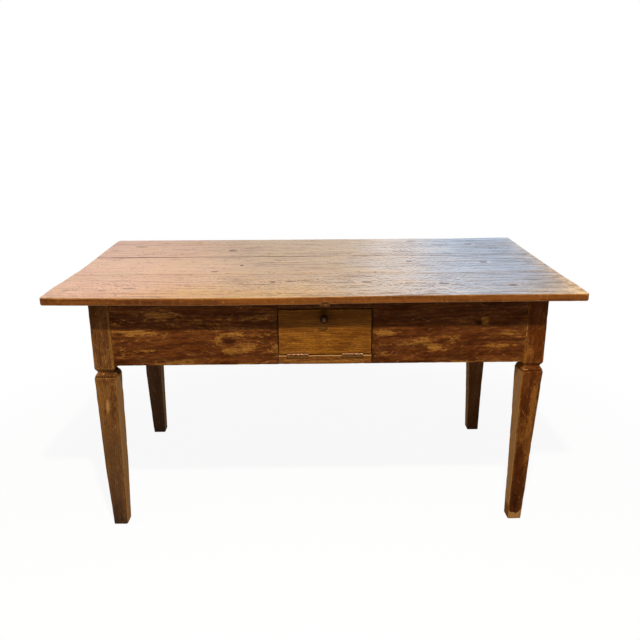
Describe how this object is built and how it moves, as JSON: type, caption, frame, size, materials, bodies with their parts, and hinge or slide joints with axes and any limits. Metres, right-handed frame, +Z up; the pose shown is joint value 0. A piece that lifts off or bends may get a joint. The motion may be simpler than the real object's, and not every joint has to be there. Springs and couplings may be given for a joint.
{
  "type": "kitchen work table",
  "caption": "Rustic plank-top kitchen work table with square tapered legs, pegged aprons and a bottom-hinged drop flap with a turning knob latch that closes a small compartment.",
  "frame": {"origin": "on the floor, under the middle of the top", "axes": "+X to the right along the table's length, +Y to the back, +Z up; the front with the flap faces -Y"},
  "size_m": [1.595, 0.8616, 0.8],
  "materials": {
    "top_wood": "worn wax over honey brown boards",
    "frame_wood": "old dark stain, rubbed through in patches",
    "flap_wood": "old stain, lighter than the frame",
    "inner_wood": "unfinished, aged",
    "peg_wood": "end grain, stained with the frame",
    "knob_wood": "dark, polished by use",
    "iron": "rubbed iron with a rust brown skin"
  },
  "bodies": {
    "table": {"top_board_front": "top_wood", "top_board_middle": "top_wood", "top_board_back": "top_wood", "leg_front_left": "frame_wood", "leg_front_right": "frame_wood", "leg_back_left": "frame_wood", "leg_back_right": "frame_wood", "apron_front_left": "frame_wood", "apron_front_right": "frame_wood", "apron_back": "frame_wood", "apron_end_left": "frame_wood", "apron_end_right": "frame_wood", "flap_rail_top": "frame_wood", "flap_rail_bottom": "frame_wood", "peg_front_left_front_lower": "peg_wood", "peg_front_left_front_upper": "peg_wood", "peg_front_left_end_lower": "peg_wood", "peg_front_left_end_upper": "peg_wood", "peg_front_right_front_lower": "peg_wood", "peg_front_right_front_upper": "peg_wood", "peg_front_right_end_lower": "peg_wood", "peg_front_right_end_upper": "peg_wood", "peg_back_left_front_lower": "peg_wood", "peg_back_left_front_upper": "peg_wood", "peg_back_left_end_lower": "peg_wood", "peg_back_left_end_upper": "peg_wood", "peg_back_right_front_lower": "peg_wood", "peg_back_right_front_upper": "peg_wood", "peg_back_right_end_lower": "peg_wood", "peg_back_right_end_upper": "peg_wood", "top_batten_left": "inner_wood", "top_batten_right": "inner_wood", "compartment_side_left": "inner_wood", "compartment_side_right": "inner_wood", "compartment_floor": "inner_wood", "compartment_back": "inner_wood", "hinge_left_fixed_leaf": "iron", "hinge_left_pin": "iron", "hinge_right_fixed_leaf": "iron", "hinge_right_pin": "iron"},
    "flap": {"flap_board": "flap_wood", "hinge_left_flap_leaf": "iron", "hinge_right_flap_leaf": "iron"},
    "latch": {"latch_knob": "knob_wood", "latch_tongue": "inner_wood", "latch_cross_pin": "iron"}
  },
  "joints": [
    {"name": "flap_hinge", "type": "hinge", "parent": "table", "child": "flap", "pos_m": [0.027, -0.3714, 0.5975], "axis": [1, 0, 0], "range_deg": [0, 180]},
    {"name": "latch_turn", "type": "hinge", "parent": "flap", "child": "latch", "pos_m": [0.0235, -0.3678, 0.71501], "axis": [0, -1, 0], "range_deg": [0, 180]}
  ]
}
